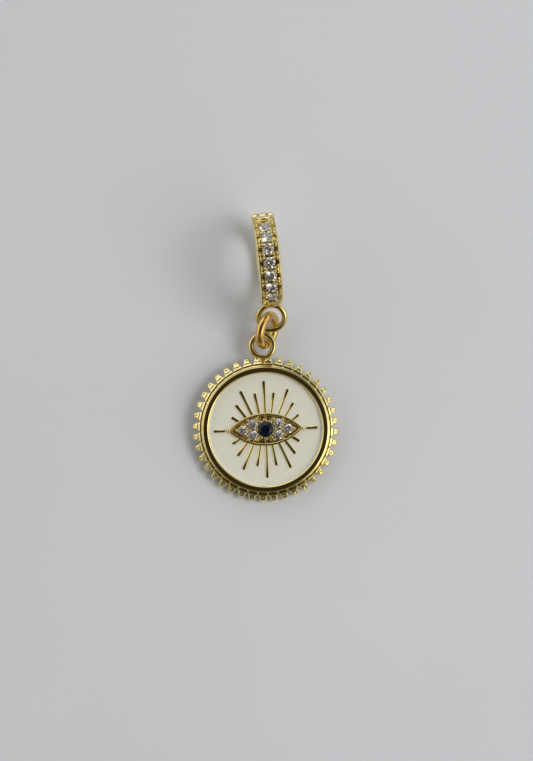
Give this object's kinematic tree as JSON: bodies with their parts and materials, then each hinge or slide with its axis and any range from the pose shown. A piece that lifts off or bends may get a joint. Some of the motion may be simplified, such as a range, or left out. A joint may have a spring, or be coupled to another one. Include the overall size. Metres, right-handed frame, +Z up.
{
  "type": "evil eye pendant",
  "caption": "Toothed gold disc with a stone-set enamel eye and rays, linked by a jump ring to a round stone-set bail whose plain back opens on a hinge.",
  "frame": {"origin": "on the surface that the pendant lies on, under the middle of its length and width", "axes": "+Y runs from the disc up to the hinged end of the bail, +X to the right as seen from the front, +Z up out of the enamelled face"},
  "size_m": [0.017, 0.0334, 0.0111],
  "materials": {
    "polished_gold": "gold plated and polished",
    "satin_gold": "gold plated, satin",
    "cream_enamel": "cold enamel, smooth gloss",
    "dark_stone": "cut and polished",
    "clear_stone": "cut and polished"
  },
  "bodies": {
    "pendant": {"medallion": "polished_gold", "bail_front": "polished_gold", "hinge_pin": "polished_gold", "jump_ring": "satin_gold", "enamel": "cream_enamel", "iris_stone": "dark_stone", "eye_stone_1": "clear_stone", "eye_stone_2": "clear_stone", "eye_stone_3": "clear_stone", "eye_stone_4": "clear_stone", "eye_stone_5": "clear_stone", "eye_stone_6": "clear_stone", "bail_stone_1": "clear_stone", "bail_stone_2": "clear_stone", "bail_stone_3": "clear_stone", "bail_stone_4": "clear_stone", "bail_stone_5": "clear_stone", "bail_stone_6": "clear_stone", "bail_stone_7": "clear_stone"},
    "gate": {"bail_gate": "polished_gold"}
  },
  "joints": [
    {"name": "gate_hinge", "type": "hinge", "parent": "pendant", "child": "gate", "pos_m": [0.00063, 0.016, 0.00662], "axis": [0.9961, 0.0679, -0.0558], "range_deg": [0, 60]}
  ]
}
